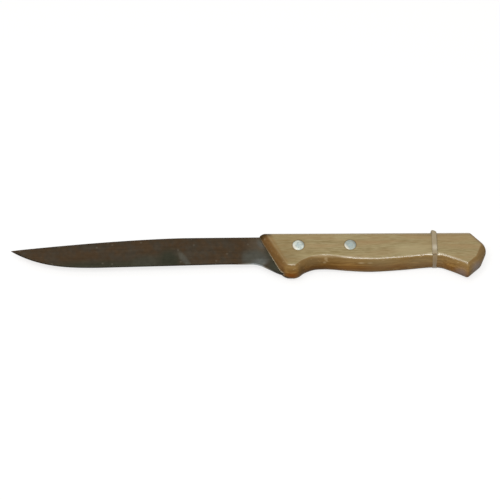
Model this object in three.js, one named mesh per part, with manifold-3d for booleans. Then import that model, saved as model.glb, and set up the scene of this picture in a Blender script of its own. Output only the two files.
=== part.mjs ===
// Kitchen utility knife lying on its side: a steel blade with a half tang, a one-piece beech
// handle, two cutler's rivets and an elastic band round the waist of the handle.
// Millimetres, +Z up. The pieces are drawn with x = 0 at the root of the blade, y = 0 along the
// straight of its back, +X towards the butt, +Y towards the back and z = 0 at half thickness.
// The group then moves so that its origin is under the middle of the knife.
import * as THREE from 'three';
import { mergeVertices } from 'three/addons/utils/BufferGeometryUtils.js';
import Module from 'manifold-3d';

const { clamp, lerp, smoothstep, degToRad } = THREE.MathUtils;

// Blade outline, in depths below the line of the back and distances ahead of the wood
const bladeLength = 150;
const backStraight = 45; // from here the back falls to the point
const backPower = 1.5;
const pointDrop = 8.1;
const pointHeight = 0.3;
const bellyStart = 97; // from here the edge sweeps up to the point
const bellyDepth = 20.65;
const bellyPower = 2.9;
const heelStart = 5; // from here the heel flares down to the guard
const heelDepth = 18.6;
const flareSlope = 0.57;
const flareBlend = 8;
const flareDepth = 26.2;

// Blade section
const bladeThickness = 1.8;
const pointThickness = 0.8;
const backFlat = 2.6; // height left unground below the back
const bevelHeight = 0.8; // sharpened bevel along the edge
const bevelThickness = 0.36;
const edgeThickness = 0.1;
const slimness = 6; // near the point the steel is about a sixth as thick as it is high
const pointShare = 0.3; // and its flat and its bevel shrink to this share of the height
const bevelShare = 0.8; // the bevel starts no thicker than this share of the back
const grindFull = 27; // the grind runs out between these two distances ahead of the wood
const grindEnd = 7;
const bladeSteps = 40;
const stationPower = 1.25; // stations crowd towards the point

// Half tang
const tangTop = -3.7;
const tangBottom = -16.7;
const tangEnd = 70;
const tangRadius = 4;
const shoulderDepth = 1.2; // the shoulders sit this far inside the front of the wood
const plateOverlap = 2; // the ground blade and the tang plate run into each other

// Handle outline at half thickness
const frontSlant = degToRad(26.4);
const frontLead = 1.2; // the back of the wood starts this far ahead of x = 0
const backLine = -0.1;
const guardLine = -27.8;
const guardRear = 21.5;
const buttHeel = [123.4, -28.5];
const buttKnee = [131.5, -20.9];
const buttNose = [135.7, -10.5];
const buttTop = 126.2;

// Handle section: the flat sides end in a bowed rim, and each reach says how far that rim runs
// in from one side of the outline
const handleThickness = 14.5;
const rimTurn = degToRad(53); // from half thickness to the flat, the bow turns this far
const backReach = 2.2;
const backReachFront = 1.6;
const frontReachTop = 3.8;
const frontReachGuard = 4.7;
const guardReach = 4;
const guardReachRear = 3.5;
const fingerReach = 4.7;
const waistReach = 2.2;
const heelReach = 4.4;
const kneeReach = 3.9;
const noseReach = 2.4;
const flatCorner = 0.8; // setback of the corners on the flat sides
const rimSteps = 16;

// Places on the curved belly of the handle, from the guard to the butt, each with its reach
const waist = [103.8, -19.4, waistReach]; // the narrow place where the band sits
const bellyCurve = [
  [26.6, -24.2, 4.4], [32, -21.9, fingerReach], [39, -21.4, fingerReach],
  [52, -22.2, 3.3], [66, -22, waistReach], [84, -21.3, waistReach], waist,
  [112.5, -22.5, 3.4],
];
const curveSteps = 4;
const mortiseGap = 0.15;

// Cutler's rivets: a headed sleeve from below and a headed pin driven into it from above
const rivetPlaces = { front_rivet: 22.4, rear_rivet: 53.4 };
const rivetLine = -10.2;
const headDiameter = 7;
const headHeight = 1.4;
const headCrown = 0.12;
const headChamfer = 0.2;
const sleeveDiameter = 5;
const boreDiameter = 3.2;
const pinDiameter = 3;
const boreFloor = 2.6; // from the lower side of the handle to the bottom of the bore
const rivetGap = 0.12;
const seatGap = 0.04;
const roundSteps = 32;

// Elastic band
const bandShift = 0.5; // behind the narrowest place of the waist
const bandLean = 0.45; // the lower run sits further back than the upper run
const bandWidth = 3;
const bandThickness = 1;
const bandThin = 0.5; // where it is stretched round the belly
const bandGap = 0.2;
const bandTurnSteps = 18;
const bandSectionSteps = 10;
const bandSquareness = 0.6; // power below 1 swells the oval section towards a rectangle

const half = handleThickness / 2;
const rimZ = (angle) => half * Math.sin(angle) / Math.sin(rimTurn);
const rimShare = (angle) => (1 - Math.cos(angle)) / (1 - Math.cos(rimTurn));
const frontX = (y) => -frontLead - y * Math.tan(frontSlant);

const wasm = await Module();
wasm.setup();

// Mesh helpers

function toSolid(geometry) {
  const bare = geometry.clone();
  bare.deleteAttribute('normal');
  bare.deleteAttribute('uv');
  const merged = mergeVertices(bare, 1e-4);
  const vertProperties = new Float32Array(merged.attributes.position.array);
  const triVerts = new Uint32Array(merged.index.array);
  return new wasm.Manifold(new wasm.Mesh({ numProp: 3, vertProperties, triVerts }));
}

function toGeometry(solid) {
  const { vertProperties, triVerts } = solid.getMesh();
  const geometry = new THREE.BufferGeometry();
  geometry.setAttribute('position', new THREE.BufferAttribute(vertProperties, 3));
  geometry.setIndex(new THREE.BufferAttribute(triVerts, 1));
  return geometry;
}

// Skin over a row of rings with equal counts of points. Each ring runs counterclockwise seen
// from the far end of the row. A looped row meets itself. Any other row is capped, and axes
// names the two axes that its flat end rings lie along.
function loft(rings, { looped = false, axes = ['x', 'y'] } = {}) {
  const count = rings[0].length;
  const last = (rings.length - 1) * count;
  const faces = [];
  const spans = looped ? rings.length : rings.length - 1;
  for (let r = 0; r < spans; r++) {
    const near = r * count;
    const far = ((r + 1) % rings.length) * count;
    for (let i = 0; i < count; i++) {
      const j = (i + 1) % count;
      faces.push(near + i, near + j, far + j);
      faces.push(near + i, far + j, far + i);
    }
  }
  if (!looped) {
    const capOf = (ring) => {
      const flat = ring.map((p) => new THREE.Vector2(p[axes[0]], p[axes[1]]));
      return THREE.ShapeUtils.triangulateShape(flat, []);
    };
    for (const [a, b, c] of capOf(rings[0])) {
      faces.push(a, c, b);
    }
    for (const [a, b, c] of capOf(rings.at(-1))) {
      faces.push(last + a, last + b, last + c);
    }
  }
  const geometry = new THREE.BufferGeometry().setFromPoints(rings.flat());
  geometry.setIndex(faces);
  return geometry;
}

// Solid of revolution on a rivet's axis, from a profile of [radius, z] pairs
function turned(profile, x) {
  const points = profile.map(([radius, z]) => new THREE.Vector2(radius, z));
  const geometry = new THREE.LatheGeometry(points, roundSteps);
  geometry.rotateX(Math.PI / 2);
  geometry.translate(x, rivetLine, 0);
  return geometry;
}

function plate(shape, thickness) {
  const settings = { depth: thickness, bevelEnabled: false, curveSegments: roundSteps / 2 };
  return new THREE.ExtrudeGeometry(shape, settings).translate(0, 0, -thickness / 2);
}

// Blade

function backY(x) {
  const fall = clamp((-x - backStraight) / (bladeLength - backStraight), 0, 1);
  return -pointDrop * fall ** backPower;
}

function edgeY(x) {
  if (x < -bellyStart) {
    const sweep = (-x - bellyStart) / (bladeLength - bellyStart);
    return lerp(-bellyDepth, -pointDrop - pointHeight, sweep ** bellyPower);
  }
  if (x < -heelStart) {
    return lerp(-heelDepth, -bellyDepth, (-x - heelStart) / (bellyStart - heelStart));
  }
  const run = x + heelStart;
  const eased = run < flareBlend ? run ** 2 / (2 * flareBlend) : run - flareBlend / 2;
  return Math.max(-heelDepth - flareSlope * eased, -flareDepth);
}

// Section of the ground blade: flat below the back, then a straight taper to the sharpened
// bevel. Towards the wood the grind runs out and the section becomes a plain rectangle.
function bladeRing(x) {
  const back = backY(x);
  const edge = edgeY(x);
  const height = back - edge;
  const ground = smoothstep(-x, grindEnd, grindFull);
  const taper = clamp((-x - grindEnd) / (bladeLength - grindEnd), 0, 1);
  const slim = edgeThickness + height / slimness;
  const backHalf = Math.min(lerp(bladeThickness, pointThickness, taper), slim) / 2;
  const bevelHalf = lerp(backHalf, Math.min(bevelThickness / 2, backHalf * bevelShare), ground);
  const edgeHalf = lerp(backHalf, edgeThickness / 2, ground);
  const grindY = back - Math.min(backFlat, height * pointShare);
  const bevelY = edge + Math.min(bevelHeight, height * pointShare);
  const side = [[back, backHalf], [grindY, backHalf], [bevelY, bevelHalf], [edge, edgeHalf]];
  const far = side.map(([y, z]) => [y, -z]).reverse();
  return [...side, ...far].map(([y, z]) => new THREE.Vector3(x, y, z));
}

// The shoulders of the tang run parallel to the front of the wood
const shoulderX = (y, grow) => frontX(y) + (shoulderDepth + grow) / Math.cos(frontSlant);

// Outline of the tang from its upper shoulder round to its lower one; grow makes room for it
function drawTang(shape, grow) {
  const top = tangTop + grow;
  const bottom = tangBottom - grow;
  const end = tangEnd + grow;
  shape.lineTo(shoulderX(top, grow), top);
  shape.lineTo(end - tangRadius, top);
  shape.quadraticCurveTo(end, top, end, top - tangRadius);
  shape.lineTo(end, bottom + tangRadius);
  shape.quadraticCurveTo(end, bottom, end - tangRadius, bottom);
  shape.lineTo(shoulderX(bottom, grow), bottom);
}

function makeBlade() {
  const rings = [];
  for (let i = 0; i <= bladeSteps; i++) {
    rings.push(bladeRing(lerp(-bladeLength, 0, (i / bladeSteps) ** stationPower)));
  }
  const ground = loft(rings, { axes: ['y', 'z'] });

  const outline = new THREE.Shape();
  outline.moveTo(-plateOverlap, 0);
  outline.lineTo(shoulderX(0, 0), 0);
  drawTang(outline, 0);
  outline.lineTo(shoulderX(-flareDepth, 0), -flareDepth);
  const flareEnd = flareBlend / 2 - heelStart + (flareDepth - heelDepth) / flareSlope;
  for (let x = flareEnd; x > -plateOverlap; x -= 1) {
    outline.lineTo(x, edgeY(x));
  }
  outline.lineTo(-plateOverlap, edgeY(-plateOverlap));
  for (const x of Object.values(rivetPlaces)) {
    const hole = new THREE.Path();
    hole.absarc(x, rivetLine, sleeveDiameter / 2 + rivetGap, 0, 2 * Math.PI);
    outline.holes.push(hole);
  }
  const tang = plate(outline, bladeThickness);
  return toGeometry(toSolid(ground).add(toSolid(tang)));
}

// Handle

// Anchors of the outline, counterclockwise from the front end of the back: the place, the
// setback of a rounded corner or 0 on a curve, and the reach of the rim on the side before
// the anchor and on the side after it
const onCurve = ([x, y, reach]) => ({ at: [x, y], corner: 0, before: reach, after: reach });
const anchors = [
  { at: [frontX(backLine), backLine], corner: 0.6, before: backReachFront, after: frontReachTop },
  { at: [frontX(guardLine), guardLine], corner: 5.5, before: frontReachGuard, after: guardReach },
  { at: [guardRear, guardLine], corner: 3, before: guardReach, after: guardReachRear },
  ...bellyCurve.map(onCurve),
  { at: buttHeel, corner: 1.4, before: heelReach, after: kneeReach },
  { at: buttKnee, corner: 1.2, before: kneeReach, after: kneeReach },
  { at: buttNose, corner: 3.4, before: noseReach, after: noseReach },
  { at: [buttTop, backLine], corner: 1.2, before: noseReach, after: backReach },
];
const neighbour = (index, step) => (index + step + anchors.length) % anchors.length;

// An anchor moved in from both sides that meet there, by a share of their reach
function insetAnchor(index, share) {
  const { at, before, after } = anchors[index];
  const here = new THREE.Vector2(...at);
  const arriving = new THREE.Vector2(...anchors[neighbour(index, -1)].at).sub(here).normalize().negate();
  const leaving = new THREE.Vector2(...anchors[neighbour(index, 1)].at).sub(here).normalize();
  const turn = arriving.cross(leaving);
  here.addScaledVector(arriving, -after * share / turn);
  here.addScaledVector(leaving, before * share / turn);
  return here;
}

// One ring of the handle: share is 0 at half thickness and 1 on the flat sides
function handleOutline(share) {
  const places = anchors.map((_, index) => insetAnchor(index, share));
  const setback = (index, step) => {
    const side = places[neighbour(index, step)].clone().sub(places[index]);
    return side.setLength(lerp(anchors[index].corner, flatCorner, share)).add(places[index]);
  };
  const outline = new THREE.Path();
  let curve = [];
  places.forEach((place, index) => {
    if (anchors[index].corner === 0) {
      curve.push(place);
      return;
    }
    const start = setback(index, -1);
    const end = setback(index, 1);
    if (index === 0) {
      outline.moveTo(start.x, start.y);
    } else if (curve.length > 0) {
      outline.splineThru([...curve, start]);
    } else {
      outline.lineTo(start.x, start.y);
    }
    outline.quadraticCurveTo(place.x, place.y, end.x, end.y);
    curve = [];
  });
  return outline.getPoints(curveSteps);
}

function makeHandle() {
  const rings = [];
  for (let i = 0; i <= rimSteps; i++) {
    const angle = lerp(-rimTurn, rimTurn, i / rimSteps);
    const outline = handleOutline(rimShare(angle));
    rings.push(outline.map((p) => new THREE.Vector3(p.x, p.y, rimZ(angle))));
  }
  let solid = toSolid(loft(rings));

  const beyond = 20; // the slot is open at the front, so its tool runs out past the wood
  const mortise = new THREE.Shape();
  mortise.moveTo(-beyond, beyond);
  mortise.lineTo(shoulderX(beyond, mortiseGap), beyond);
  drawTang(mortise, mortiseGap);
  mortise.lineTo(shoulderX(guardLine - beyond, mortiseGap), guardLine - beyond);
  mortise.lineTo(-beyond, guardLine - beyond);
  solid = solid.subtract(toSolid(plate(mortise, bladeThickness + 2 * mortiseGap)));

  const hole = sleeveDiameter / 2 + rivetGap;
  const sink = headDiameter / 2 + rivetGap;
  const floor = half - headHeight - seatGap;
  const mouth = half + headHeight; // the drill starts outside the wood
  const drill = [[0, -mouth], [sink, -mouth], [sink, -floor], [hole, -floor],
    [hole, floor], [sink, floor], [sink, mouth], [0, mouth]];
  for (const x of Object.values(rivetPlaces)) {
    solid = solid.subtract(toSolid(turned(drill, x)));
  }
  return toGeometry(solid);
}

// Rivets

const head = headDiameter / 2;
const underHead = half - headHeight;

// Face of a head on the upper side of the handle, from the rim to the axis: chamfered and
// crowned, so that half way in it has risen by three quarters of the crown
const crown = [[head, half - headChamfer], [head - headChamfer, half],
  [head / 2, half + headCrown * 0.75], [0, half + headCrown]];

function makeSleeve(x) {
  const tube = sleeveDiameter / 2;
  const bore = boreDiameter / 2;
  const top = underHead - seatGap;
  const floor = boreFloor - half;
  const face = crown.map(([radius, z]) => [radius, -z]).reverse();
  return turned([...face, [head, -underHead], [tube, -underHead], [tube, top], [bore, top],
    [bore, floor], [0, floor]], x);
}

function makePin(x) {
  const pin = pinDiameter / 2;
  const end = boreFloor - half + 2 * headChamfer;
  return turned([[0, end], [pin - headChamfer, end], [pin, end + headChamfer], [pin, underHead],
    [head, underHead], ...crown], x);
}

// Elastic band

// Section of the handle at the waist: places [y, z] with the direction that each one faces,
// which turns evenly from straight down to straight up on the back and then on the belly
function waistSection() {
  const ends = [
    { side: 1, line: backLine, reach: backReach },
    { side: -1, line: waist[1], reach: waistReach },
  ];
  const places = [];
  for (const { side, line, reach } of ends) {
    const bow = reach * Math.sin(rimTurn) / (half * (1 - Math.cos(rimTurn)));
    for (let i = 0; i <= bandTurnSteps; i++) {
      const turn = lerp(-Math.PI / 2, Math.PI / 2, i / bandTurnSteps);
      const onBow = Math.atan2(Math.sin(turn), bow * Math.cos(turn));
      const angle = clamp(onBow, -rimTurn, rimTurn);
      const at = [line - side * reach * rimShare(angle), side * rimZ(angle)];
      places.push({ at, facing: [side * Math.cos(turn), side * Math.sin(turn)] });
    }
  }
  return places;
}

function makeBand() {
  const swell = (value) => Math.sign(value) * Math.abs(value) ** bandSquareness;
  const rings = waistSection().map(({ at, facing }) => {
    const thickness = lerp(bandThickness, bandThin, clamp(-facing[0], 0, 1));
    const ring = [];
    for (let i = 0; i < bandSectionSteps; i++) {
      const angle = 2 * Math.PI * (i + 0.5) / bandSectionSteps;
      const across = swell(Math.cos(angle)) * bandWidth / 2;
      const out = bandGap + thickness * (1 + swell(Math.sin(angle))) / 2;
      const z = at[1] + facing[1] * out;
      const x = waist[0] + bandShift - bandLean * z / half + across;
      ring.push(new THREE.Vector3(x, at[0] + facing[0] * out, z));
    }
    return ring;
  });
  return loft(rings, { looped: true });
}

// Assembly

const steel = new THREE.MeshStandardMaterial({ color: 0x8b877d, roughness: 0.35, metalness: 1 });
const beech = new THREE.MeshStandardMaterial({ color: 0xa99268, roughness: 0.45, metalness: 0 });
const aluminium = new THREE.MeshStandardMaterial({ color: 0xc3c9c4, roughness: 0.3, metalness: 1 });
const rubber = new THREE.MeshStandardMaterial({ color: 0xa3977f, roughness: 0.4, metalness: 0 });

const knife = new THREE.Group();

function addPiece(name, geometry, material) {
  const mesh = new THREE.Mesh(geometry, material);
  mesh.name = name;
  knife.add(mesh);
}

addPiece('blade', makeBlade(), steel);
addPiece('handle', makeHandle(), beech);
for (const [name, x] of Object.entries(rivetPlaces)) {
  addPiece(`${name}_sleeve`, makeSleeve(x), aluminium);
  addPiece(`${name}_pin`, makePin(x), aluminium);
}
addPiece('elastic_band', makeBand(), rubber);

const box = new THREE.Box3().setFromObject(knife);
const middle = box.getCenter(new THREE.Vector3());
knife.position.set(-middle.x, -middle.y, -box.min.z);

export default knife;
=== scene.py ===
import math

import bpy
from mathutils import Matrix, Vector


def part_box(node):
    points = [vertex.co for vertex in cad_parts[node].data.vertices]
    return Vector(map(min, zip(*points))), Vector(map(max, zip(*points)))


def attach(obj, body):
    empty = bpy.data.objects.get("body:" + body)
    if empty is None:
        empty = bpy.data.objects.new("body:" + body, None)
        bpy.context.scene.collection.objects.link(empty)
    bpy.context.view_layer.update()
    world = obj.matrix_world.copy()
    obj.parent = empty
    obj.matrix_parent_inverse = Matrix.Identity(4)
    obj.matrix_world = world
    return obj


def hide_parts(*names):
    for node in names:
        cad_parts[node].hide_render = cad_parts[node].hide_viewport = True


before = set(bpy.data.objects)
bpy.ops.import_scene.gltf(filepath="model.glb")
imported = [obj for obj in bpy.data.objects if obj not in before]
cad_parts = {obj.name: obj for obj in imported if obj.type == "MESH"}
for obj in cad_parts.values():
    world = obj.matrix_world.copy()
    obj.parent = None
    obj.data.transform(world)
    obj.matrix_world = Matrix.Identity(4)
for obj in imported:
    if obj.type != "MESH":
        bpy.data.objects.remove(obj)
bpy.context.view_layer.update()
print("frame loaded with", len(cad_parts), "pieces")

# Kitchen utility knife lying on its side. Shapes are drawn in millimetres in the knife's own frame:
# x = 0 at the root of the blade, y = 0 along the straight of its back, +X to the butt, +Y to the
# back, z = 0 at half thickness.
mm = 0.001
knife = {
    "bladeLength": 150, "bladeThickness": 1.8, "handleThickness": 14.5, "backLine": -0.1,
    "frontLead": 1.2, "frontSlant": math.tan(math.radians(26.4)),  # how the front of the wood leans
    "sharpAngle": math.radians(32),  # faces that meet at more than this keep their edge
}
half = knife["handleThickness"] / 2
knifeOrigin = Vector((
    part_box("blade")[0].x + knife["bladeLength"] * mm,
    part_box("handle")[1].y - knife["backLine"] * mm,
    (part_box("handle")[0].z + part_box("handle")[1].z) / 2,
))


def clamp(value, low=0, high=1):
    return min(max(value, low), high)


def lerp(start, end, share):
    return start + (end - start) * share


def smooth(value):
    value = clamp(value)
    return value * value * (3 - 2 * value)


def slantX(y):
    return -y * knife["frontSlant"]


def frontX(y):
    return slantX(y) - knife["frontLead"]


# Mesh making

def loft(rings, looped=False):  # skin over rings that run counterclockwise seen from the far end
    count = len(rings[0])
    faces = []
    for near in range(len(rings) if looped else len(rings) - 1):
        far = (near + 1) % len(rings)
        for i in range(count):
            j = (i + 1) % count
            faces.append((near * count + i, near * count + j, far * count + j, far * count + i))
    if not looped:
        last = (len(rings) - 1) * count
        faces.append(tuple(reversed(range(count))))
        faces.append(tuple(range(last, last + count)))
    return [point for ring in rings for point in ring], faces


def prism(outline, thickness):
    return loft([[(x, y, z) for x, y in outline] for z in (-thickness / 2, thickness / 2)])


def revolve(profile, x, y, steps):  # (radius, z) pairs that start and end on the axis, upwards outside
    points, faces = [(x, y, profile[0][1])], []
    inner = profile[1:-1]
    for radius, z in inner:
        for i in range(steps):
            turn = 2 * math.pi * i / steps
            points.append((x + radius * math.cos(turn), y + radius * math.sin(turn), z))
    points.append((x, y, profile[-1][1]))
    for i in range(steps):
        j = (i + 1) % steps
        faces.append((0, 1 + j, 1 + i))
        for ring in range(len(inner) - 1):
            low = 1 + ring * steps
            faces.append((low + i, low + j, low + steps + j, low + steps + i))
        top = 1 + (len(inner) - 1) * steps
        faces.append((top + i, top + j, len(points) - 1))
    return points, faces


def bend(start, corner, end, steps):  # rounded corner, without its first point
    made = []
    for i in range(1, steps + 1):
        t = i / steps
        made.append(Vector(start) * (1 - t) ** 2 + Vector(corner) * 2 * t * (1 - t) + Vector(end) * t * t)
    return made


def makeObject(name, shape, origin=knifeOrigin):
    points, faces = shape
    mesh = bpy.data.meshes.new(name)
    mesh.from_pydata([origin + Vector(point) * mm for point in points], [], faces)
    made = bpy.data.objects.new(name, mesh)
    bpy.context.scene.collection.objects.link(made)
    return made


def carve(piece, tool, operation):  # boolean whose result becomes the piece's own mesh
    step = piece.modifiers.new(operation.title(), "BOOLEAN")
    step.operation = operation
    step.solver = "EXACT"
    step.object = tool
    made = piece.evaluated_get(bpy.context.evaluated_depsgraph_get())
    mesh = bpy.data.meshes.new_from_object(made)
    piece.modifiers.clear()
    piece.data = mesh
    mesh.name = piece.name
    bpy.data.objects.remove(tool)


def finishPiece(piece, material, node):
    piece.data.materials.clear()
    piece.data.materials.append(material)
    piece.data.shade_smooth()
    piece.data.set_sharp_from_angle(angle=knife["sharpAngle"])
    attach(piece, "root")
    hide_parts(node)
    print(piece.name, "made with", len(piece.data.polygons), "faces")


# Material making

softEdge = {"start": 1.6, "end": 0.8}  # of an oval mark, in its radii with the waver added
throughMm = 1000  # half size of a mark that goes right through the thickness


def linear(hexColour):  # sRGB to linear light
    parts = [int(hexColour[i:i + 2], 16) / 255 for i in (1, 3, 5)]
    return [c / 12.92 if c <= 0.04045 else ((c + 0.055) / 1.055) ** 2.4 for c in parts] + [1]


def addNode(tree, kind, settings={}, inputs={}):  # text is a hex colour, a node stands for its first output
    made = tree.nodes.new(kind)
    for name, value in settings.items():
        setattr(made, name, value)
    for socket, value in inputs.items():
        if isinstance(value, str):
            value = linear(value)
        if isinstance(value, bpy.types.Node):
            value = next(output for output in value.outputs if output.enabled)
        if isinstance(value, bpy.types.NodeSocket):
            tree.links.new(value, made.inputs[socket])
        else:
            made.inputs[socket].default_value = value
    return made


def startMaterial(name):  # with object coordinates, and the same in the knife's frame in millimetres
    material = bpy.data.materials.new(name)
    material.use_nodes = True
    tree = material.node_tree
    tree.nodes.clear()
    coords = addNode(tree, "ShaderNodeTexCoord")
    inMm = addNode(tree, "ShaderNodeMapping", inputs={
        "Vector": coords.outputs["Object"], "Location": tuple(-knifeOrigin / mm), "Scale": (1 / mm,) * 3})
    return material, tree, coords, inMm


def streakNoise(tree, vector, sizeMm, detail=3):  # noise drawn out to a size along each axis
    scaled = addNode(tree, "ShaderNodeMapping", inputs={
        "Vector": vector, "Scale": tuple(1 / side for side in sizeMm)})
    return addNode(tree, "ShaderNodeTexNoise", inputs={"Vector": scaled, "Scale": 1, "Detail": detail})


# Product of shares. Each is a node, or a measure with its run: while the measure goes from start to end,
# the share goes from low to high, eased unless the run says otherwise.
def joinShares(tree, *shares):
    joined = None
    for share in shares:
        if isinstance(share, tuple):
            measure, run = share
            share = addNode(
                tree, "ShaderNodeMapRange", {"interpolation_type": run.get("easing", "SMOOTHSTEP")}, {
                    "Value": measure, "From Min": run["start"], "From Max": run["end"],
                    "To Min": run.get("low", 0), "To Max": run.get("high", 1)})
        if joined is not None:
            share = addNode(tree, "ShaderNodeMath", {"operation": "MULTIPLY"}, {0: joined, 1: share})
        joined = share
    return joined


def layer(tree, under, over, *shares):  # one colour over another, by the product of the shares
    return addNode(tree, "ShaderNodeMix", {"data_type": "RGBA"}, {
        "Factor": joinShares(tree, *shares), "A": under, "B": over})


# Share of an oval mark with a wavering soft edge, right through the thickness unless it is given a height
def softMark(tree, inMm, waver, middle, halfSize, share, turn=0):
    local = addNode(tree, "ShaderNodeMapping", {"vector_type": "TEXTURE"}, {
        "Vector": inMm, "Location": (*middle, 0)[:3], "Scale": (*halfSize, throughMm)[:3],
        "Rotation": (0, 0, math.radians(turn))})
    away = addNode(tree, "ShaderNodeVectorMath", {"operation": "LENGTH"}, {0: local})
    away = addNode(tree, "ShaderNodeMath", {"operation": "ADD"}, {0: waver, 1: away})
    return joinShares(tree, (away, dict(softEdge, high=share)))


# Rivets: a headed sleeve from below and a headed pin driven into it from above

rivets = {
    "places": {"front_rivet": 22.4, "rear_rivet": 53.4}, "line": -10.2,
    "head": 3.5, "headHeight": 1.4, "crown": 0.14, "crownPower": 4, "chamfer": 0.12, "crownSteps": 12,
    "sleeve": 2.5, "bore": 1.6, "pin": 1.5, "boreFloor": 2.6, "gap": 0.05, "seatGap": 0.04, "steps": 96,
    # the centre colour is a painted bluish reflection in the dished middle of each head
    "bright": "#f8fff8", "dullAndShade": "#ced6d0", "blueReflection": "#c9dde2", "tarnish": "#aebfbc",
    # the worn colour is a painted highlight on one side of the rim, the shaded colour painted shade on the
    # other
    "rimHighlight": "#fbf7ea", "shaded": "#a2aaa6",
    "runs": {  # by radius, by noise, and by distance towards the side with the painted highlight
        "blueReflection": {"start": 2.9, "end": 0, "high": 0.7},
        "tarnish": {"start": 0.42, "end": 0.62, "high": 0.5},
        "rimHighlight": {"start": 1.4, "end": 3, "high": 0.9},
        "shaded": {"start": -1.4, "end": -3.2, "high": 0.7},
    },
    "tarnishMm": 1.3, "litSide": (-0.86, -0.5, 0),
    "scratchMm": (6, 0.35, 6), "scratchDepth": 0.01, "roughness": (0.52, 0.66),
}


# Aluminium, turned, driven home and ground flush with the wood: a pale satin face with a painted bluish
# reflection in the dished middle, patches of tarnish, a painted highlight along one side of the rim and
# painted shade along the other, and fine scratches along the handle. The rear head is duller.
def aluminiumGroundFlush():
    material, tree, _, inMm = startMaterial("aluminiumGroundFlush")
    place = addNode(tree, "ShaderNodeSeparateXYZ", inputs={"Vector": inMm})
    front, rear = rivets["places"].values()
    isRear = addNode(tree, "ShaderNodeMath", {"operation": "GREATER_THAN"}, {
        0: place.outputs["X"], 1: (front + rear) / 2})
    face = layer(tree, rivets["bright"], rivets["dullAndShade"], isRear)

    # a painted bluish reflection in the dished middle, patches of tarnish, and a rim with a painted
    # highlight on one side and painted shade on the other
    middle = addNode(tree, "ShaderNodeVectorMath", {"operation": "MULTIPLY_ADD"}, {
        0: isRear, 1: (rear - front, 0, 0), 2: (front, rivets["line"], half)})
    local = addNode(tree, "ShaderNodeVectorMath", {"operation": "SUBTRACT"}, {0: inMm, 1: middle})
    radius = addNode(tree, "ShaderNodeVectorMath", {"operation": "LENGTH"}, {0: local})
    patches = addNode(tree, "ShaderNodeTexNoise", inputs={
        "Vector": inMm, "Scale": 1 / rivets["tarnishMm"], "Detail": 3})
    litSide = addNode(tree, "ShaderNodeVectorMath", {"operation": "DOT_PRODUCT"}, {
        0: local, 1: rivets["litSide"]})
    measures = {"blueReflection": radius, "tarnish": patches, "rimHighlight": litSide, "shaded": litSide}
    for colour, measure in measures.items():
        face = layer(tree, face, rivets[colour], (measure, rivets["runs"][colour]))

    scratches = streakNoise(tree, inMm, rivets["scratchMm"])  # 0.03 mm scratches, coarser so that they show
    low, high = rivets["roughness"]
    rough = addNode(tree, "ShaderNodeMapRange", inputs={"Value": scratches, "To Min": low, "To Max": high})
    bump = addNode(tree, "ShaderNodeBump", inputs={
        "Height": scratches, "Strength": 0.5, "Distance": rivets["scratchDepth"] * mm})
    shader = addNode(tree, "ShaderNodeBsdfPrincipled", inputs={
        "Base Color": face, "Metallic": 1, "Roughness": rough, "Normal": bump})
    addNode(tree, "ShaderNodeOutputMaterial", inputs={"Surface": shader})
    return material


def headFace():  # from the chamfered rim to the middle of the crown, on the upper side
    flat = rivets["head"] - rivets["chamfer"]
    face = [(rivets["head"], half - rivets["chamfer"])]
    for i in range(rivets["crownSteps"] + 1):
        radius = flat * (1 - i / rivets["crownSteps"])
        face.append((radius, half + rivets["crown"] * (1 - (radius / flat) ** rivets["crownPower"])))
    return face


def makeSleeve(name, x):
    under = half - rivets["headHeight"]
    top, floor = under - rivets["seatGap"], rivets["boreFloor"] - half
    face = [(radius, -z) for radius, z in reversed(headFace())]
    profile = [*face, (rivets["head"], -under), (rivets["sleeve"], -under), (rivets["sleeve"], top),
               (rivets["bore"], top), (rivets["bore"], floor), (0, floor)]
    return makeObject(name + "_sleeve_turned", revolve(profile, x, rivets["line"], rivets["steps"]))


def makePin(name, x):
    under, end = half - rivets["headHeight"], rivets["boreFloor"] - half + 2 * rivets["chamfer"]
    profile = [(0, end), (rivets["pin"] - rivets["chamfer"], end), (rivets["pin"], end + rivets["chamfer"]),
               (rivets["pin"], under), (rivets["head"], under), *headFace()]
    return makeObject(name + "_pin_turned", revolve(profile, x, rivets["line"], rivets["steps"]))


def drillRivetHoles(piece, profile):
    for x in rivets["places"].values():
        drill = makeObject("drill", revolve(profile, x, rivets["line"], rivets["steps"]))
        carve(piece, drill, "DIFFERENCE")


aluminium = aluminiumGroundFlush()
for name, x in rivets["places"].items():
    finishPiece(makeSleeve(name, x), aluminium, name + "_sleeve")
    finishPiece(makePin(name, x), aluminium, name + "_pin")


# Blade: ground steel with a flared heel, and a half tang inside the wood

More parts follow.
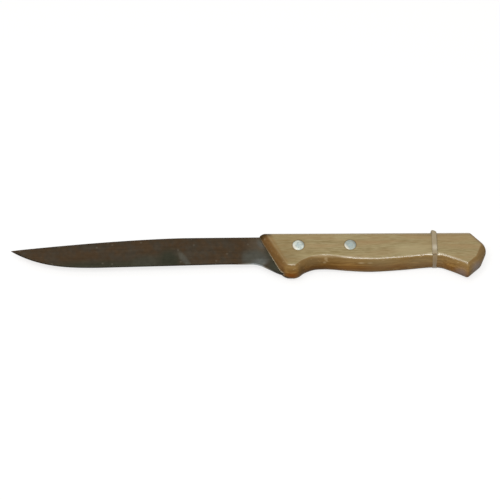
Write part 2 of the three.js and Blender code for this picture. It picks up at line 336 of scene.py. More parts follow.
blade = {
    "backStraight": 45, "backPower": 1.5, "pointDrop": 8.1, "pointHeight": 0.3,
    "bellyStart": 97, "bellyDepth": 20.65, "bellyPower": 2.9,
    "heelStart": 6, "heelDepth": 18.6, "flareSlope": 0.58, "flareBlend": 8, "flareDepth": 26.2,
    "pointThickness": 0.8, "slimness": 6, "pointShare": 0.3,
    "backFlat": 2.6, "backEase": 0.2, "edgeEase": 0.2,
    "bevelHeight": 0.8, "bevelThickness": 0.36, "bevelShare": 0.8, "edgeThickness": 0.1,
    "grindEnd": 7, "grindFull": 27, "leanRun": 25, "leanRounds": 8,
    "shoulderDepth": 1.2, "tangTop": -3.7, "tangBottom": -16.7, "tangEnd": 70, "tangRadius": 4,
    "tangThickness": 1.76, "tangOverlap": 2.5, "drillReach": 2,
    "stations": 120, "stationPower": 1.2, "easeSteps": 4, "flatRows": 3, "grindRows": 12, "bendSteps": 10,
    "brown": "#6e5b47", "grey": "#675e52", "edgeGreen": "#58594c", "darkGreen": "#525549",
    "paleGreen": "#64645a", "smear": "#7a7a72", "upperHeel": "#84796a", "heel": "#787c77",
    # the dull colour of the blade is painted shade on its eased back and sharpened bevel
    "wiped": "#909797", "stain": "#606257", "dullAndShade": "#2b2620", "speck": "#a5a196",
    "marks": [  # colour, middle, half sizes, share and turn in degrees of each patch of tarnish, wipe or painted light
        # the edge green mark is tarnish and partly a painted sheen along the edge
        ("edgeGreen", (-90, -20.4), (56, 6.4), 0.9, 1), ("paleGreen", (-68, -16.5), (13, 6), 0.8),
        ("darkGreen", (-55, -15), (9, 9), 0.95), ("smear", (-46, -15), (8, 2.6), 0.9, -56),
        # the heel mark is partly a painted reflection, and the wiped marks below are painted highlights on
        # the heel
        ("upperHeel", (2, -5.5), (12, 9), 0.85), ("heel", (-4, -15), (12, 7.5), 0.85),
        ("wiped", (-0.5, -18.3), (6, 4), 0.9, 20), ("wiped", (-0.2, -5), (2.6, 4.5), 0.45, 26),
        ("stain", (8.5, -22), (7, 6), 0.9, -30)],
    "grindLine": -11.5, "heelMiddle": -4,
    "runs": {  # by noise, by distances in millimetres, and by how far a face leans
        "grey": {"start": 0.4, "end": 0.6, "easing": "LINEAR"},
        "pastGrind": {"start": -12.5, "end": -10.5},
        "stain": {"start": -5, "end": -2, "high": 0.7},
        "lowDown": {"start": -7, "end": -13},
        "speck": {"start": 0.055, "end": 0.02, "high": 0.35, "easing": "LINEAR"},
        "onBack": {"start": 0.08, "end": 0.16, "easing": "LINEAR"},
        "onBevel": {"start": -0.08, "end": -0.16, "easing": "LINEAR"},
        "fromHeel": {"start": 7, "end": 13, "easing": "LINEAR"},
    },
    "cloudMm": 9, "mottleMm": 2.5, "mottleShade": (0.75, 1.25), "speckMm": 15,
    "lineMm": (30, 1.2, 4), "lineShade": (0.8, 1.2), "lineDepth": 0.003,
    "roughness": 0.16, "lineRoughness": 0.08, "cloudRoughness": 0.08,
}


# Stainless steel, ground along the blade to a satin and dulled by use: a dark soft mirror, mottled brown,
# with faint grinding lines, green tarnish towards the edge that is partly a painted sheen, a wiped smear, a
# cleaner bluish heel that is partly a painted reflection with painted highlights on it, and painted shade
# on the back and bevel.
def steelGroundSatin():
    material, tree, coords, inMm = startMaterial("steelGroundSatin")
    runs = blade["runs"]
    place = addNode(tree, "ShaderNodeSeparateXYZ", inputs={"Vector": inMm})
    facing = addNode(tree, "ShaderNodeSeparateXYZ", inputs={"Vector": coords.outputs["Normal"]})
    cloud = addNode(tree, "ShaderNodeTexNoise", inputs={
        "Vector": inMm, "Scale": 1 / blade["cloudMm"], "Detail": 4, "Roughness": 0.7})
    mottle = addNode(tree, "ShaderNodeTexNoise", inputs={
        "Vector": inMm, "Scale": 1 / blade["mottleMm"], "Detail": 2})
    lines = streakNoise(tree, inMm, blade["lineMm"])  # grit lines of 0.05 mm, coarser so that they show
    steel = layer(tree, blade["brown"], blade["grey"], (cloud, runs["grey"]))

    # patches of tarnish, wipes and painted light; those on the heel stop where the grind ends
    pastGrind = joinShares(tree, (place.outputs["X"], runs["pastGrind"]))
    for colour, middle, *rest in blade["marks"]:
        shares = [softMark(tree, inMm, cloud, middle, *rest)]
        if middle[0] > blade["grindLine"]:
            shares.append(pastGrind)
        steel = layer(tree, steel, blade[colour], *shares)

    # stained along the lower part of the joint with the wood
    behindFront = addNode(tree, "ShaderNodeVectorMath", {"operation": "DOT_PRODUCT"}, {
        0: inMm, 1: (1, knife["frontSlant"], 0)})
    steel = layer(
        tree, steel, blade["stain"], (behindFront, runs["stain"]), (place.outputs["Y"], runs["lowDown"]))

    specks = addNode(tree, "ShaderNodeTexVoronoi", {"voronoi_dimensions": "2D"}, {
        "Vector": inMm, "Scale": 1 / blade["speckMm"]})
    steel = layer(tree, steel, blade["speck"], (specks.outputs["Distance"], runs["speck"]))
    for noise, (low, high) in ((mottle, blade["mottleShade"]), (lines, blade["lineShade"])):
        shade = addNode(tree, "ShaderNodeMapRange", inputs={"Value": noise, "To Min": low, "To Max": high})
        steel = addNode(tree, "ShaderNodeVectorMath", {"operation": "SCALE"}, {0: steel, "Scale": shade})

    # painted shade on the eased back and on the sharpened bevel, which lean away from the sides; the heel
    # has none
    fromHeel = addNode(tree, "ShaderNodeMath", {"operation": "SUBTRACT"}, {
        0: place.outputs["X"], 1: blade["heelMiddle"]})
    fromHeel = addNode(tree, "ShaderNodeMath", {"operation": "ABSOLUTE"}, {0: fromHeel})
    onBack = joinShares(tree, (facing.outputs["Y"], runs["onBack"]))
    onBevel = joinShares(tree, (facing.outputs["Y"], runs["onBevel"]), (fromHeel, runs["fromHeel"]))
    dullAndShade = addNode(tree, "ShaderNodeMath", {"operation": "MAXIMUM"}, {0: onBack, 1: onBevel})
    steel = layer(tree, steel, blade["dullAndShade"], dullAndShade)

    rough = blade["roughness"]
    for noise, share in ((lines, blade["lineRoughness"]), (cloud, blade["cloudRoughness"])):
        rough = addNode(tree, "ShaderNodeMath", {"operation": "MULTIPLY_ADD"}, {
            0: noise, 1: share, 2: rough})
    bump = addNode(tree, "ShaderNodeBump", inputs={
        "Height": lines, "Strength": 0.4, "Distance": blade["lineDepth"] * mm})
    shader = addNode(tree, "ShaderNodeBsdfPrincipled", inputs={
        "Base Color": steel, "Metallic": 1, "Roughness": rough, "Normal": bump})
    addNode(tree, "ShaderNodeOutputMaterial", inputs={"Surface": shader})
    return material


def backY(x):
    fall = clamp((-x - blade["backStraight"]) / (knife["bladeLength"] - blade["backStraight"]))
    return -blade["pointDrop"] * fall ** blade["backPower"]


def edgeY(x):
    if x < -blade["bellyStart"]:
        sweep = (-x - blade["bellyStart"]) / (knife["bladeLength"] - blade["bellyStart"])
        point = -blade["pointDrop"] - blade["pointHeight"]
        return lerp(-blade["bellyDepth"], point, sweep ** blade["bellyPower"])
    if x < -blade["heelStart"]:
        run = (-x - blade["heelStart"]) / (blade["bellyStart"] - blade["heelStart"])
        return lerp(-blade["heelDepth"], -blade["bellyDepth"], run)
    run, blend = x + blade["heelStart"], blade["flareBlend"]
    eased = run ** 2 / (2 * blend) if run < blend else run - blend / 2
    return max(-blade["heelDepth"] - blade["flareSlope"] * eased, -blade["flareDepth"])


def bladeRows(x):  # one side of the section as (y, half thickness), from the back to the edge
    back, edge = backY(x), edgeY(x)
    height = back - edge
    ground = smooth((-x - blade["grindEnd"]) / (blade["grindFull"] - blade["grindEnd"]))
    taper = clamp((-x - blade["grindEnd"]) / (knife["bladeLength"] - blade["grindEnd"]))
    slim = blade["edgeThickness"] + height / blade["slimness"]
    backHalf = min(lerp(knife["bladeThickness"], blade["pointThickness"], taper), slim) / 2
    bevelHalf = lerp(backHalf, min(blade["bevelThickness"] / 2, backHalf * blade["bevelShare"]), ground)
    edgeHalf = lerp(backHalf, blade["edgeThickness"] / 2, ground)
    grindY = back - min(blade["backFlat"], height * blade["pointShare"])
    bevelY = edge + min(blade["bevelHeight"], height * blade["pointShare"])
    ease = min(blade["backEase"], (back - grindY) / 2, backHalf / 2)
    rows = []
    for i in range(blade["easeSteps"] + 1):
        turn = math.pi / 2 * i / blade["easeSteps"]
        rows.append((back - ease * (1 - math.cos(turn)), backHalf - ease * (1 - math.sin(turn))))
    for i in range(1, blade["flatRows"]):
        rows.append((lerp(back - ease, grindY, i / blade["flatRows"]), backHalf))
    for i in range(blade["grindRows"] + 1):
        share = i / blade["grindRows"]
        rows.append((lerp(grindY, bevelY, share), lerp(backHalf, bevelHalf, share)))
    corner = min(blade["edgeEase"], edgeHalf / 2, (bevelY - edge) / 2)
    rows.append((edge + corner, lerp(edgeHalf, bevelHalf, corner / (bevelY - edge))))
    rows.append((edge, edgeHalf - corner))
    return rows


def bladeRing(station):  # rings lean into the slant of the wood as they come near it
    lean = smooth(station / blade["leanRun"] + 1)
    side = []
    for row in range(len(bladeRows(station))):
        x = station
        for _ in range(blade["leanRounds"]):
            y, z = bladeRows(x)[row]
            x = station + lean * slantX(y)
        side.append((x, y, z))
    return side + [(x, y, -z) for x, y, z in reversed(side)]


def shoulderX(y, grow):
    return frontX(y) + (blade["shoulderDepth"] + grow) * math.hypot(1, knife["frontSlant"])


def tangOutline(grow):  # from the lower shoulder round the end of the tang to the upper shoulder
    top, bottom = blade["tangTop"] + grow, blade["tangBottom"] - grow
    end, radius = blade["tangEnd"] + grow, blade["tangRadius"]
    outline = [(shoulderX(bottom, grow), bottom), (end - radius, bottom)]
    outline += bend(outline[-1], (end, bottom), (end, bottom + radius), blade["bendSteps"])
    outline.append((end, top - radius))
    outline += bend(outline[-1], (end, top), (end - radius, top), blade["bendSteps"])
    outline.append((shoulderX(top, grow), top))
    return outline


def makeBlade():
    stations = []
    for i in range(blade["stations"] + 1):
        share = (i / blade["stations"]) ** blade["stationPower"]
        stations.append(lerp(-knife["bladeLength"], shoulderX(0, 0), share))
    piece = makeObject("blade_ground_steel", loft([bladeRing(station) for station in stations]))
    tang = tangOutline(0)
    inside = [(x - blade["tangOverlap"], y) for x, y in (tang[-1], tang[0])]
    carve(piece, makeObject("tang", prism(tang + inside, blade["tangThickness"])), "UNION")
    hole, reach = rivets["sleeve"] + rivets["gap"], blade["drillReach"]
    drillRivetHoles(piece, [(0, -reach), (hole, -reach), (hole, reach), (0, reach)])
    return piece


finishPiece(makeBlade(), steelGroundSatin(), "blade")


# Handle: one piece of wood with flat sides and a bowed rim, slotted for the tang and drilled for the rivets

handle = {
    "guardLine": -27.8, "guardRear": 21.5, "buttHeel": (123.4, -28.5), "buttKnee": (131.5, -20.9),
    "buttNose": (135.7, -10.5), "buttTop": 126.2,
    "corners": {  # setbacks at half thickness
        "front": 0.6, "guard": 5.5, "guardRear": 3, "heel": 1.4, "knee": 1.2, "nose": 3.4, "top": 1.2},
    "flatCorner": 0.8, "flatInset": 0.6,
    "backReach": 2.2, "backReachFront": 1.5, "frontReachTop": 3.5, "frontReachGuard": 4.7,
    "guardReach": 4, "guardReachRear": 3.5, "heelReach": 4.4, "kneeReach": 3.9,
    "noseReachBelow": 3.9, "noseReach": 2.4,
    "bellyCurve": [  # places along the belly, each with the reach of its rim
        (26.6, -23.9, 3.9), (32, -21.9, 4.35), (38, -21.6, 4.65), (43.5, -21.85, 4.5), (52, -22.3, 3.2),
        (66, -22, 1.4), (84, -21.05, 1.6), (103.8, -19.4, 1.7), (112.5, -22.75, 3.5)],
    "rimTurn": math.radians(53),
    "creaseReach": (2.2, 4.4), "creaseDrop": (1.5, 0.36), "creaseRun": (1.9, 0.45),
    "mortiseGap": 0.15, "mortiseBeyond": 20, "drillMouth": 1,
    "rimSteps": 36, "creaseSteps": 14, "cornerSteps": 10, "curveSteps": 8, "sideSteps": 8, "backSteps": 24,
    "pale": "#aa9b73", "dark": "#8b7a52", "pink": "#a0855d", "fleck": "#7f6c48",
    # the low rim colour is painted shade where the rims turn under
    "rim": "#a67e45", "rimStreak": "#7b531e", "rimTop": "#8d7145", "lowRimShade": "#8e5d25",
    # the back edge colour is painted shade on rims that lean towards the back
    "frontEnd": "#7d5a33", "buttEnd": "#8a7049", "backEdge": "#77643f", "back": "#94804f",
    # the corner colour is painted shade, in the top corner of the front and under the guard's front corner
    # the grip colour is dirt, and painted shade in the groove and under the guard
    # the scuff colour is painted highlights, pale dabs on the rim and the front
    "corner": "#3b3018", "scuff": "#c4ad84", "grime": "#5d4a2e", "bare": "#c9bea4", "grip": "#533816",
    # the ash colour is a painted grey reflection on the lower rims of the butt
    # the nose colour is painted shade on the upper rear facets of the butt
    "guard": "#6f3f0c", "sunned": "#b3a67f", "ash": "#948984", "nose": "#5c5445", "amber": "#94500f",
    # the edge wear colour is partly worn film and partly a painted highlight along the crease
    "edgeWear": "#cbbf9f", "ashen": "#6f5c3e", "olive": "#765e29",
    "marks": [  # colour, middle, half sizes and share of each place darkened or paled, by use or as painted light
        # the grip marks are dirt, and painted shade in the groove and low at the guard
        ("grip", (35, -23.5), (18, 5.5), 0.6), ("grip", (15, -19), (9, 5), 0.2),
        # the scuff marks are painted highlights
        ("guard", (17.5, -29), (11, 3.6), 0.25), ("scuff", (2.4, -4.1, 4.7), (0.8, 0.8, 0.8), 0.4),
        ("scuff", (59.8, -21, 4.3), (3.2, 4, 1.1), 0.75), ("scuff", (65, -21, 4.3), (2.6, 4, 0.9), 0.6),
        ("scuff", (38.7, -18.9, 5.5), (1.6, 4, 1.1), 0.55),
        ("scuff", (37.9, -20.2, 3.8), (1.5, 4, 0.9), 0.45),
        ("sunned", (97, -20, 2), (16, 4, 5), 0.3), ("sunned", (69, -20, 3), (17, 5, 7), 0.3),
        ("pink", (95, -4), (18, 4), 0.6), ("sunned", (89, -14), (16, 5), 0.5),
        # the ash marks are a painted grey reflection on the lower rims of the butt
        # the nose marks are painted shade on the rear facets of the butt
        ("ash", (130, -24, 0), (9, 7, 8.8), 0.85), ("nose", (135.5, -11, -1), (5, 8, 6), 0.6),
        ("nose", (131, -5, 1), (6, 6, 6.5), 0.75), ("grip", (31, -23, -3), (13, 5, 5), 0.6),
        ("ashen", (31, -20.5, 4.5), (10, 5, 4.5), 0.55), ("grip", (44, -20, 4.6), (11, 5, 4), 0.28),
        ("amber", (17.8, -28.3, 0.5), (5, 3, 3), 0.6), ("grip", (12.5, -26, 2), (3.5, 4, 4.5), 0.5),
        ("grip", (24, -25.5, 2), (4, 5, 5.5), 0.55), ("olive", (15, -13), (14, 13), 0.24),
        # the back edge mark is painted shade along the back at the rear
        # the edge wear mark by the band is a painted highlight on the crease
        ("backEdge", (106, -2), (36, 3), 0.55), ("edgeWear", (103.6, -17.3, 7.1), (6, 1.6, 1.2), 0.8),
        ("sunned", (49.5, -4.5), (8, 4.5), 0.35), ("pink", (116, -4), (15, 5.5), 0.5),
        # the corner mark is painted shade under the front corner of the guard
        ("ash", (119, -27, 0), (8, 5, 7.5), 0.6), ("corner", (14, -27, -2.6), (5.5, 3.5, 3.2), 0.9)],
    "dulled": [  # middle, half sizes and share where the film is rubbed dull: guard, groove and flare
        ((17.5, -23.5), (11, 6), 0.6), ((33, -18), (9, 5), 0.85), ((45, -18), (8, 5), 0.7),
        ((117, -23), (10, 6), 0.6)],
    "runs": {  # by noise, by distances in millimetres, and by how far a face leans
        "pink": {"start": 0.45, "end": 0.7, "high": 0.7, "easing": "LINEAR"},
        "fleck": {"start": 0.6, "end": 0.75, "high": 0.5, "easing": "LINEAR"},
        "rimStreak": {"start": 0.42, "end": 0.62, "high": 0.8},
        "rimTop": {"start": 2, "end": 6.4, "high": 0.85},
        "lowRimShade": {"start": 3.5, "end": 0, "high": 0.7},
        "frontEnd": {"start": -0.3, "end": -0.7, "high": 0.9},
        "buttEnd": {"start": 0.3, "end": 0.65, "high": 0.9},
        "backEdge": {"start": 0.3, "end": 0.7, "high": 0.7},
        "back": {"start": 0.85, "end": 0.98, "high": 0.8},
        "onRim": {"start": half - 0.08, "end": half - 0.36, "high": 0.95},
        "atFront": {"start": 6.2, "end": 3.4, "high": 0.8},
        "edgeWear": {"start": 0.72, "end": 0.85, "high": 0.3},
        "onCrease": {"start": 0.99, "end": 0.95},
        "notButt": {"start": 0.2, "end": 0.1, "easing": "LINEAR"},
        "scuff": {"start": 0.64, "end": 0.72, "high": 0.6, "easing": "LINEAR"},
        "upperRim": {"start": 0.25, "end": 0.5},
        "belowCrease": {"start": 0.9, "end": 0.7},
        "corner": {"start": -4.8, "end": -1.6},
        "grime": {"start": rivets["head"] + 0.9, "end": rivets["head"] + 0.1, "high": 0.35},
        "nearSteel": {"start": 2.6, "end": 1.4},
        "frontFace": {"start": -0.4, "end": -0.7, "easing": "LINEAR"},
        "lowerDown": {"start": -8, "end": -15, "low": 0.35},
        "patchy": {"start": 0.4, "end": 0.52, "low": 0.25, "easing": "LINEAR"},
        "uneven": {"start": 0.998, "end": 0.97, "low": 0.08},
        "film": {"start": 0.8, "end": 0.87, "low": 0.03},
    },
    "heart": (0, 30, 38), "ringMm": 2.6, "ringTone": (-0.8, -0.6), "ringShade": (0.93, 1.05),
    "wanderMm": 45, "wander": 3, "fibreTone": 2.4, "fibreDepth": 0.03,
    "streakMm": {  # all drawn out along the handle; real ray flecks are 0.2 mm high, too fine here
        "fibre": (5.5, 0.6, 0.6), "fleck": (3, 0.5, 0.5), "band": (40, 4, 4), "figure": (7, 0.8, 0.8),
        "scuff": (2.6, 0.8, 0.8)},
    "roughness": (0.52, 0.4), "peelMm": (2.2, 5, 5), "peelDepth": 0.2, "filmRoughness": 0.14,
}


# Beech, planed and sanded, then clear lacquered: pale straight grain with short ray flecks. The shaped rims
# were burnished by the cutter, so they are browner, and the film gives a thin sharp shine along the crease,
# where a pale line is partly worn film and partly a painted highlight. Painted shade darkens the rims where
# they turn under, the back edge, the butt's rear facets and the corners of the front; pale dabs below the
# crease are painted highlights, and a grey patch on the lower butt is a painted reflection.
def beechSandedLacquered():
    material, tree, coords, inMm = startMaterial("beechSandedLacquered")
    runs = handle["runs"]
    wander = addNode(tree, "ShaderNodeTexNoise", inputs={
        "Vector": inMm, "Scale": 1 / handle["wanderMm"], "Detail": 2})
    grain = addNode(tree, "ShaderNodeVectorMath", {"operation": "MULTIPLY_ADD"}, {
        0: wander.outputs["Color"], 1: (0, handle["wander"], handle["wander"]), 2: inMm})

    # growth rings round a heart that lies below the handle; the wave repeats every pi / 10 at scale 1
    heart = addNode(tree, "ShaderNodeMapping", inputs={"Vector": grain, "Location": handle["heart"]})
    rings = addNode(tree, "ShaderNodeTexWave", {
        "wave_type": "RINGS", "rings_direction": "X", "wave_profile": "SIN"}, {
        "Vector": heart, "Scale": math.pi / 10 / handle["ringMm"],
        "Distortion": 1.5, "Detail": 2, "Detail Scale": 0.2}).outputs["Fac"]
    streaks = {name: streakNoise(tree, grain, size) for name, size in handle["streakMm"].items()}

    low, high = handle["ringTone"]
    tone = addNode(tree, "ShaderNodeMapRange", inputs={"Value": rings, "To Min": low, "To Max": high})
    tone = addNode(tree, "ShaderNodeMath", {"operation": "MULTIPLY_ADD", "use_clamp": True}, {
        0: streaks["fibre"], 1: handle["fibreTone"], 2: tone})
    wood = layer(tree, handle["dark"], handle["pale"], tone)
    wood = layer(tree, wood, handle["pink"], (streaks["band"], runs["pink"]))
    wood = layer(tree, wood, handle["fleck"], (streaks["fleck"], runs["fleck"]))

    # the rims: figured, painted darker as shade where they turn under and on the back edge, and their own
    # colours on the front, butt and back
    facing = addNode(tree, "ShaderNodeSeparateXYZ", inputs={"Vector": coords.outputs["Normal"]})
    upright = addNode(tree, "ShaderNodeMath", {"operation": "ABSOLUTE"}, {0: facing.outputs["Z"]})
    place = addNode(tree, "ShaderNodeSeparateXYZ", inputs={"Vector": inMm})
    aside = addNode(tree, "ShaderNodeMath", {"operation": "ABSOLUTE"}, {0: place.outputs["Z"]})
    notFront = addNode(tree, "ShaderNodeMath", {"operation": "GREATER_THAN"}, {
        0: place.outputs["X"], 1: handle["guardRear"]})
    forward = addNode(tree, "ShaderNodeMath", {"operation": "ADD"}, {0: facing.outputs["X"], 1: notFront})
    rim = layer(tree, handle["rim"], handle["rimStreak"], (streaks["figure"], runs["rimStreak"]))
    measures = {
        "rimTop": aside, "lowRimShade": aside, "frontEnd": forward, "buttEnd": facing.outputs["X"],
        "backEdge": facing.outputs["Y"], "back": facing.outputs["Y"]}
    for colour, measure in measures.items():
        rim = layer(tree, rim, handle[colour], (measure, runs[colour]))
    low, high = handle["ringShade"]
    ringShade = addNode(tree, "ShaderNodeMapRange", inputs={"Value": rings, "To Min": low, "To Max": high})
    rim = addNode(tree, "ShaderNodeVectorMath", {"operation": "SCALE"}, {0: rim, "Scale": ringShade})
    behindFront = addNode(tree, "ShaderNodeVectorMath", {"operation": "DOT_PRODUCT"}, {
        0: inMm, 1: (1, knife["frontSlant"], 0)})
    atFront = joinShares(tree, (behindFront, runs["atFront"]))  # this one runs over the crease
    onRim = addNode(tree, "ShaderNodeMath", {"operation": "MAXIMUM"}, {
        0: joinShares(tree, (aside, runs["onRim"])), 1: atFront})
    wood = layer(tree, wood, rim, onRim)

    for colour, *mark in handle["marks"]:
        wood = layer(tree, wood, handle[colour], softMark(tree, inMm, wander, *mark))

    # the crease painted pale, partly as worn film and partly as a painted highlight, but not at the front
    # and the butt
    awayFromFront = addNode(tree, "ShaderNodeMath", {"operation": "SUBTRACT"}, {0: 1, 1: atFront})
    wood = layer(
        tree, wood, handle["edgeWear"], (upright, runs["edgeWear"]), (upright, runs["onCrease"]),
        awayFromFront, (facing.outputs["X"], runs["notButt"]))

    # pale dabs painted as highlights just below the crease, and painted shade in the corner at the top of
    # the front
    wood = layer(
        tree, wood, handle["scuff"], (streaks["scuff"], runs["scuff"]), (upright, runs["upperRim"]),
        (upright, runs["belowCrease"]))
    wood = layer(tree, wood, handle["corner"], (place.outputs["Y"], runs["corner"]), atFront)

    # grime round the rivet heads
    radius = knife["bladeLength"]  # further than any place on the handle
    for x in rivets["places"].values():
        for side in (half, -half):
            away = addNode(tree, "ShaderNodeVectorMath", {"operation": "DISTANCE"}, {
                0: inMm, 1: (x, rivets["line"], side)})
            radius = addNode(tree, "ShaderNodeMath", {"operation": "MINIMUM"}, {0: radius, 1: away})
    wood = layer(tree, wood, handle["grime"], (radius, runs["grime"]))

    # paler wood at the mouth of the slot along the steel, in patches, most low down
    wood = layer(
        tree, wood, handle["bare"], (aside, runs["nearSteel"]), (forward, runs["frontFace"]),
        (place.outputs["Y"], runs["lowerDown"]), (streaks["scuff"], runs["patchy"]))

    grainBump = addNode(tree, "ShaderNodeBump", inputs={
        "Height": streaks["fibre"], "Strength": 0.5, "Distance": handle["fibreDepth"] * mm})
    filmBump = addNode(tree, "ShaderNodeBump", inputs={  # nearly smooth on the flat sides
        "Height": streakNoise(tree, inMm, handle["peelMm"], 2),
        "Strength": joinShares(tree, (upright, runs["uneven"])), "Distance": handle["peelDepth"] * mm})
    low, high = handle["roughness"]
    rough = addNode(tree, "ShaderNodeMapRange", inputs={
        "Value": streaks["fibre"], "To Min": low, "To Max": high})
    film = joinShares(tree, (upright, runs["film"]))
    for mark in handle["dulled"]:
        kept = addNode(tree, "ShaderNodeMath", {"operation": "SUBTRACT"}, {
            0: 1, 1: softMark(tree, inMm, wander, *mark)})
        film = joinShares(tree, film, kept)
    shader = addNode(tree, "ShaderNodeBsdfPrincipled", inputs={
        "Base Color": wood, "Roughness": rough, "IOR": 1.5, "Specular IOR Level": 0.03, "Normal": grainBump,
        "Coat Weight": film, "Coat Roughness": handle["filmRoughness"], "Coat IOR": 1.6,
        "Coat Normal": filmBump})
    addNode(tree, "ShaderNodeOutputMaterial", inputs={"Surface": shader})
    return material


def makeAnchors():  # place, corner setback or 0 on a curve, and the reach of the rim before and after it
    h, corners, back = handle, handle["corners"], knife["backLine"]
    return [
        ((frontX(back), back), corners["front"], h["backReachFront"], h["frontReachTop"]),
        ((frontX(h["guardLine"]), h["guardLine"]), corners["guard"], h["frontReachGuard"], h["guardReach"]),
        ((h["guardRear"], h["guardLine"]), corners["guardRear"], h["guardReach"], h["guardReachRear"]),
        *[((x, y), 0, reach, reach) for x, y, reach in h["bellyCurve"]],
        (h["buttHeel"], corners["heel"], h["heelReach"], h["kneeReach"]),
        (h["buttKnee"], corners["knee"], h["kneeReach"], h["kneeReach"]),
        (h["buttNose"], corners["nose"], h["noseReachBelow"], h["noseReach"]),
        ((h["buttTop"], back), corners["top"], h["noseReach"], h["backReach"]),
    ]


anchors = makeAnchors()


def bowShare(z):  # 0 at half thickness, 1 at the crease
    turn = handle["rimTurn"]
    angle = math.asin(min(abs(z) / half, 1) * math.sin(turn))
    return (1 - math.cos(angle)) / (1 - math.cos(turn))


def rimInset(z, reach):  # how far the rim has drawn in at a height; a steep rim has a softer crease
    low, high = handle["creaseReach"]
    share = clamp((reach - low) / (high - low))
    drop, run = lerp(*handle["creaseDrop"], share), lerp(*handle["creaseRun"], share)
    below = half - abs(z)
    if below >= drop:
        return reach * bowShare(z)
    t = 1 - math.sqrt(below / drop)
    return (1 - t) ** 2 * reach * bowShare(half - drop) + 2 * t * (1 - t) * reach + t * t * (reach + run)


def insetAnchor(index, z, extra):  # moved in from both sides by the rim's inset and some more
    at, _, before, after = anchors[index]
    here = Vector(at)
    arriving = (here - Vector(anchors[index - 1][0])).normalized()
    leaving = (Vector(anchors[(index + 1) % len(anchors)][0]) - here).normalized()
    turn = arriving.x * leaving.y - arriving.y * leaving.x
    return (here - arriving * ((rimInset(z, after) + extra) / turn)
            + leaving * ((rimInset(z, before) + extra) / turn))


def spline(points, steps):  # smooth curve through points, without the first one
    made = []
    for i in range(len(points) - 1):
        p0, p1 = points[max(i - 1, 0)], points[i]
        p2, p3 = points[i + 1], points[min(i + 2, len(points) - 1)]
        v0, v1 = (p2 - p0) / 2, (p3 - p1) / 2
        cubed, squared = 2 * p1 - 2 * p2 + v0 + v1, 3 * p2 - 3 * p1 - 2 * v0 - v1
        for step in range(1, steps + 1):
            t = step / steps
            made.append(cubed * t ** 3 + squared * t ** 2 + v0 * t + p1)
    return made


def handleOutline(z, extra):
    places = [insetAnchor(i, z, extra) for i in range(len(anchors))]
    outline, curve = [], []
    for i, place in enumerate(places):
        corner = anchors[i][1]
        if corner == 0:
            curve.append(place)
            continue
        setback = lerp(corner, handle["flatCorner"], bowShare(z))
        before, after = places[i - 1] - place, places[(i + 1) % len(places)] - place
        start, end = place + before.normalized() * setback, place + after.normalized() * setback
        if curve:
            outline += spline([outline[-1], *curve, start], handle["curveSteps"])
        elif outline:
            steps = handle["sideSteps"]
            outline += [outline[-1].lerp(start, (k + 1) / steps) for k in range(steps)]
        else:
            first = start
            outline.append(start)
        outline += bend(start, place, end, handle["cornerSteps"])
        curve = []
    closing = handle["backSteps"]
    outline += [outline[-1].lerp(first, (k + 1) / closing) for k in range(closing - 1)]
    return outline


def rimHeights():  # rings from half thickness up to the flat, closer together over the eased crease
    drop, turn = handle["creaseDrop"][0], handle["rimTurn"]
    bowEnd = math.asin(math.sin(turn) * (1 - drop / half))
    count = handle["rimSteps"] // 2
    heights = [half * math.sin(bowEnd * i / count) / math.sin(turn) for i in range(count + 1)]
    steps = handle["creaseSteps"]
    return heights + [half - drop * (1 - i / steps) ** 2 for i in range(1, steps + 1)]


def makeHandle():
    rows = [(z, 0) for z in rimHeights()] + [(half, handle["flatInset"])]
    rows = [(-z, extra) for z, extra in reversed(rows[1:])] + rows
    rings = [[(*point, z) for point in handleOutline(z, extra)] for z, extra in rows]
    piece = makeObject("handle_lacquered_beech", loft(rings))

    gap, beyond = handle["mortiseGap"], handle["mortiseBeyond"]  # the slot is open at the front
    low, high = handle["guardLine"] - beyond, beyond
    slot = [(-beyond, low), (shoulderX(low, gap), low), *tangOutline(gap), (shoulderX(high, gap), high),
            (-beyond, high)]
    carve(piece, makeObject("slot", prism(slot, knife["bladeThickness"] + 2 * gap)), "DIFFERENCE")

    hole, sink = rivets["sleeve"] + rivets["gap"], rivets["head"] + rivets["gap"]
    floor, mouth = half - rivets["headHeight"] - rivets["seatGap"], half + handle["drillMouth"]
    drillRivetHoles(piece, [
        (0, -mouth), (sink, -mouth), (sink, -floor), (hole, -floor),
        (hole, floor), (sink, floor), (sink, mouth), (0, mouth)])
    return piece


finishPiece(makeHandle(), beechSandedLacquered(), "handle")


# Elastic band round the waist

band = {
    "middle": 104.05, "lean": 0.3, "width": 3, "lowWidth": 2.7, "backWidth": 4.8,
    "thickness": 1.14, "thin": 0.08, "thinRun": 3, "thinTurn": 1.15, "backThickness": 1.9, "gap": 0.05,
    "ridgeTaper": 0.95, "ridgeShift": 1.2,
    "waistLine": -19.4, "waistReach": 1.7, "backReach": 2.1,
    "turnSteps": 48, "runSteps": 12, "sectionSteps": 28, "squareness": 0.6,
    "clear": "#b7a98b", "milky": "#a8997e", "low": "#a3875c", "paintedHighlight": "#d3cab5",
    # the lump colour is a painted highlight on the upper run, centred on the spot below
    "highlightSpot": (104, -13.2, 8.2),
    "runs": {  # by how far a face leans, and by distance from the painted highlight
        "low": {"start": -0.4, "end": -0.9, "high": 0.6},
        "paintedHighlight": {"start": 3, "end": 0.5, "high": 0.8},
    },
    "streakMm": (0.8, 9, 9), "streakDepth": 0.04, "roughness": (0.42, 0.28), "transmission": 0.15,
}


